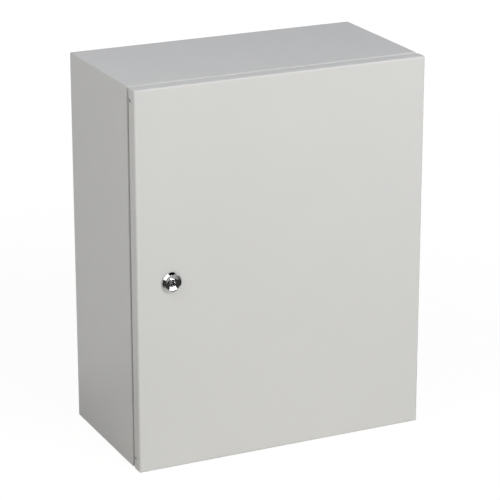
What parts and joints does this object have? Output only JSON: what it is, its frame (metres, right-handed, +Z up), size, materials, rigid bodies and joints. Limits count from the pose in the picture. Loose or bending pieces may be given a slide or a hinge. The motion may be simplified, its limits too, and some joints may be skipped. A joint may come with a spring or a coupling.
{
  "type": "wall-mounting steel enclosure",
  "caption": "Rectangular sheet-steel wall enclosure with a side-hung returned-edge door, quarter-turn lock, foam gasket, inner mounting plate and bottom gland plate.",
  "frame": {"origin": "on the back face, at the centre of the rectangle of wall fixing holes", "axes": "+X to the right seen from the front, +Y towards the wall, +Z up"},
  "size_m": [0.4, 0.215, 0.5],
  "materials": {
    "body_paint": "fine-textured light grey powder coat, semi-matt",
    "door_paint": "fine-textured light grey powder coat, semi-matt",
    "galvanised_plate": "hot-dip galvanised sheet, faint spangle",
    "chrome": "polished chrome on die-cast zinc",
    "zinc_plated": "bright zinc plate",
    "cam_steel": "zinc-plated pressed steel",
    "foam": "black foamed-in-place polyurethane, matt skin",
    "seal_rubber": "black moulded rubber"
  },
  "bodies": {
    "enclosure": {"body_wrap": "body_paint", "back_panel": "body_paint", "plate_studs": "zinc_plated", "plate_spacers": "zinc_plated", "mounting_plate": "galvanised_plate", "plate_washers": "zinc_plated", "plate_nuts": "zinc_plated", "gland_gasket": "foam", "gland_plate": "galvanised_plate", "gland_studs": "zinc_plated", "gland_nuts": "zinc_plated", "body_earth_stud": "zinc_plated", "body_earth_washer": "zinc_plated", "body_earth_nut": "zinc_plated", "hinge_studs": "zinc_plated", "hinge_nuts": "zinc_plated", "upper_body_leaf": "zinc_plated", "lower_body_leaf": "zinc_plated", "upper_hinge_pin": "zinc_plated", "lower_hinge_pin": "zinc_plated", "hinge_pin_rings": "zinc_plated"},
    "door": {"door_panel": "door_paint", "door_gasket": "foam", "upper_door_leaf": "zinc_plated", "lower_door_leaf": "zinc_plated", "door_leaf_screws": "zinc_plated", "door_earth_stud": "zinc_plated", "door_earth_washer": "zinc_plated", "door_earth_nut": "zinc_plated", "lock_housing": "chrome", "lock_seal": "seal_rubber", "lock_nut": "zinc_plated"},
    "lock_core": {"lock_insert": "chrome", "lock_cam": "cam_steel", "cam_washer": "zinc_plated", "cam_screw": "zinc_plated"}
  },
  "joints": [
    {"name": "door_hinge", "type": "hinge", "parent": "enclosure", "child": "door", "pos_m": [0.1935, -0.2035, 0], "axis": [0, 0, 1], "range_deg": [0, 120]},
    {"name": "lock_turn", "type": "hinge", "parent": "door", "child": "lock_core", "pos_m": [-0.153, -0.21, 0], "axis": [0, 1, 0], "range_deg": [0, 90]}
  ]
}
